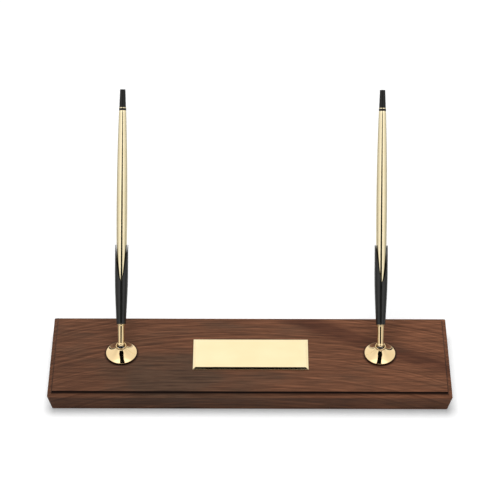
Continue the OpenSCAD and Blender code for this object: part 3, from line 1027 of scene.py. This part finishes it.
# Studio
# A plain white floor under one large soft lamp, overhead and a little to the back, in a tent of soft
# light. The tent's dark slit and flags, and a floor card for the bounce light, show only in the polish.
floor_size = 8
lamp_place = Vector((-0.06, 0.15, 1.55))
lamp_size = 1.2
lamp_power = 22
slit_outline = [
    (0.70, -1.221, 0.705),
    (0.66, -1.014, 0.979),
    (0.44, -0.932, 1.111),
    (0.32, -0.775, 1.342),
    (0.28, -0.564, 1.550),
    (0.28, -0.468, 1.633),
    (0.26, -0.304, 1.723),
    (0.14, 0.0, 1.800),
    (0.14, 0.5, 1.750),
]
flag_outline = [(-0.30, 0), (0.40, 0), (0.40, 0.03), (-0.30, 0.03)]
flag_x = 0.30


def add_floor(name, tone, glow):
    """Adds a matt floor of one even tone, a little cloudy, with a little glow of its own."""
    bpy.ops.object.select_all(action="DESELECT")
    bpy.ops.mesh.primitive_plane_add(size=floor_size)
    floor = bpy.context.object
    floor.name = name
    material, tree, surface = start_material(name)
    place = add_node(tree, "ShaderNodeTexCoord", {}).outputs["Object"]
    cloud = add_noise(tree, place, (3, 3, 3), 2)
    paint = add_ramp(tree, cloud, [(0.3, (tone - 0.01,) * 3), (0.7, (tone + 0.01,) * 3)])
    fill(tree, surface.inputs["Base Color"], paint)
    surface.inputs["Roughness"].default_value = 0.9
    surface.inputs["Specular IOR Level"].default_value = 0
    surface.inputs["Emission Color"].default_value = (1, 1, 1, 1)
    surface.inputs["Emission Strength"].default_value = glow
    floor.data.materials.append(material)
    floor.visible_shadow = False
    return floor


floor = add_floor("floor", 0.95, 0.07)
floor.visible_glossy = False
floor.visible_diffuse = False
floor_card = add_floor("floor_card", 0.5, 0)
floor_card.visible_camera = False

slit_mesh = bpy.data.meshes.new("tent_slit")
slit_points = [(side * half, y, z) for half, y, z in slit_outline for side in (-1, 1)]
slit_faces = [(i, i + 1, i + 3, i + 2) for i in range(0, len(slit_points) - 2, 2)]
for x in (-flag_x, flag_x):
    slit_faces.append(tuple(range(len(slit_points), len(slit_points) + len(flag_outline))))
    slit_points += [(x, y, z) for y, z in flag_outline]
slit_mesh.from_pydata(slit_points, [], slit_faces)
slit = bpy.data.objects.new("tent_slit", slit_mesh)
bpy.context.scene.collection.objects.link(slit)
slit_paint, _, slit_surface = start_material("slit_paint")
slit_surface.inputs["Base Color"].default_value = (0.004, 0.0035, 0.003, 1)
slit_surface.inputs["Roughness"].default_value = 1
slit_surface.inputs["Specular IOR Level"].default_value = 0
slit_mesh.materials.append(slit_paint)
slit.visible_camera = False
slit.visible_diffuse = False
slit.visible_shadow = False
slit.visible_transmission = False

lamp_data = bpy.data.lights.new("back_lamp", "AREA")
lamp_data.shape = "DISK"
lamp_data.size = lamp_size
lamp_data.energy = lamp_power
lamp = bpy.data.objects.new("back_lamp", lamp_data)
lamp.location = lamp_place
lamp.rotation_euler = (-lamp_place).to_track_quat("-Z", "Y").to_euler()
lamp.visible_glossy = False
bpy.context.scene.collection.objects.link(lamp)

world = bpy.data.worlds.new("light_tent")
world.use_nodes = True
bpy.context.scene.world = world
tent = world.node_tree
toward = add_node(tent, "ShaderNodeTexCoord", {}).outputs["Generated"]
axes = add_node(tent, "ShaderNodeSeparateXYZ", {"Vector": toward}).outputs


def tent_share(value, start, end, low, high):
    """Carries a direction's part smoothly into a range of brightness."""
    inputs = {"Value": value, "From Min": start, "From Max": end, "To Min": low, "To Max": high}
    return add_node(
        tent, "ShaderNodeMapRange", inputs, interpolation_type="SMOOTHSTEP"
    ).outputs["Result"]


sideways = add_node(tent, "ShaderNodeMath", {0: axes["X"]}, operation="ABSOLUTE").outputs["Value"]
front_low = tent_share(axes["Z"], 0.05, 0.35, 0.45, 1)
front_boxes = add_mix(tent, "MULTIPLY", 1, front_low, tent_share(sideways, 0.3, 0.95, 1.25, 0.9))
back_sheet = tent_share(sideways, 0.15, 0.9, 1.1, 1)
to_back = tent_share(axes["Y"], -0.25, 0.25, 0, 1)
around = add_mix(tent, "MIX", to_back, front_boxes, back_sheet)
polish_light = add_mix(tent, "ADD", 1, around, tent_share(axes["Z"], 0.78, 0.9, 0, 0.5))
soft_light = tent_share(axes["Y"], -0.5, 0.5, 0.75, 0.5)
in_polish = add_node(tent, "ShaderNodeLightPath", {}).outputs["Is Glossy Ray"]
tent_light = add_mix(tent, "MIX", in_polish, soft_light, polish_light)
from_side = tent_share(axes["X"], -1, 1, 1.02, 0.98)
fill(
    tent,
    tent.nodes["Background"].inputs["Strength"],
    add_mix(tent, "MULTIPLY", 1, tent_light, from_side),
)
tent.nodes["Background"].inputs["Color"].default_value = (1, 1, 1, 1)

# Camera
# The set is seen from straight in front and well above, at the photograph's angle and framing, by a
# long lens that keeps the two pens almost upright.
camera_place = (-0.000121, -0.962044, 1.039202)
camera_pitch = math.radians(43.7179)
camera_roll = math.radians(0.1438)
camera_lens = 144
camera_sensor = 36
camera_data = bpy.data.cameras.new("camera")
camera_data.lens = camera_lens
camera_data.sensor_width = camera_sensor
camera = bpy.data.objects.new("camera", camera_data)
camera.matrix_world = (
    Matrix.Translation(camera_place)
    @ Matrix.Rotation(math.pi / 2 - camera_pitch, 4, "X")
    @ Matrix.Rotation(camera_roll, 4, "Z")
)
bpy.context.scene.collection.objects.link(camera)
bpy.context.scene.camera = camera
bpy.context.scene.view_settings.view_transform = "Standard"
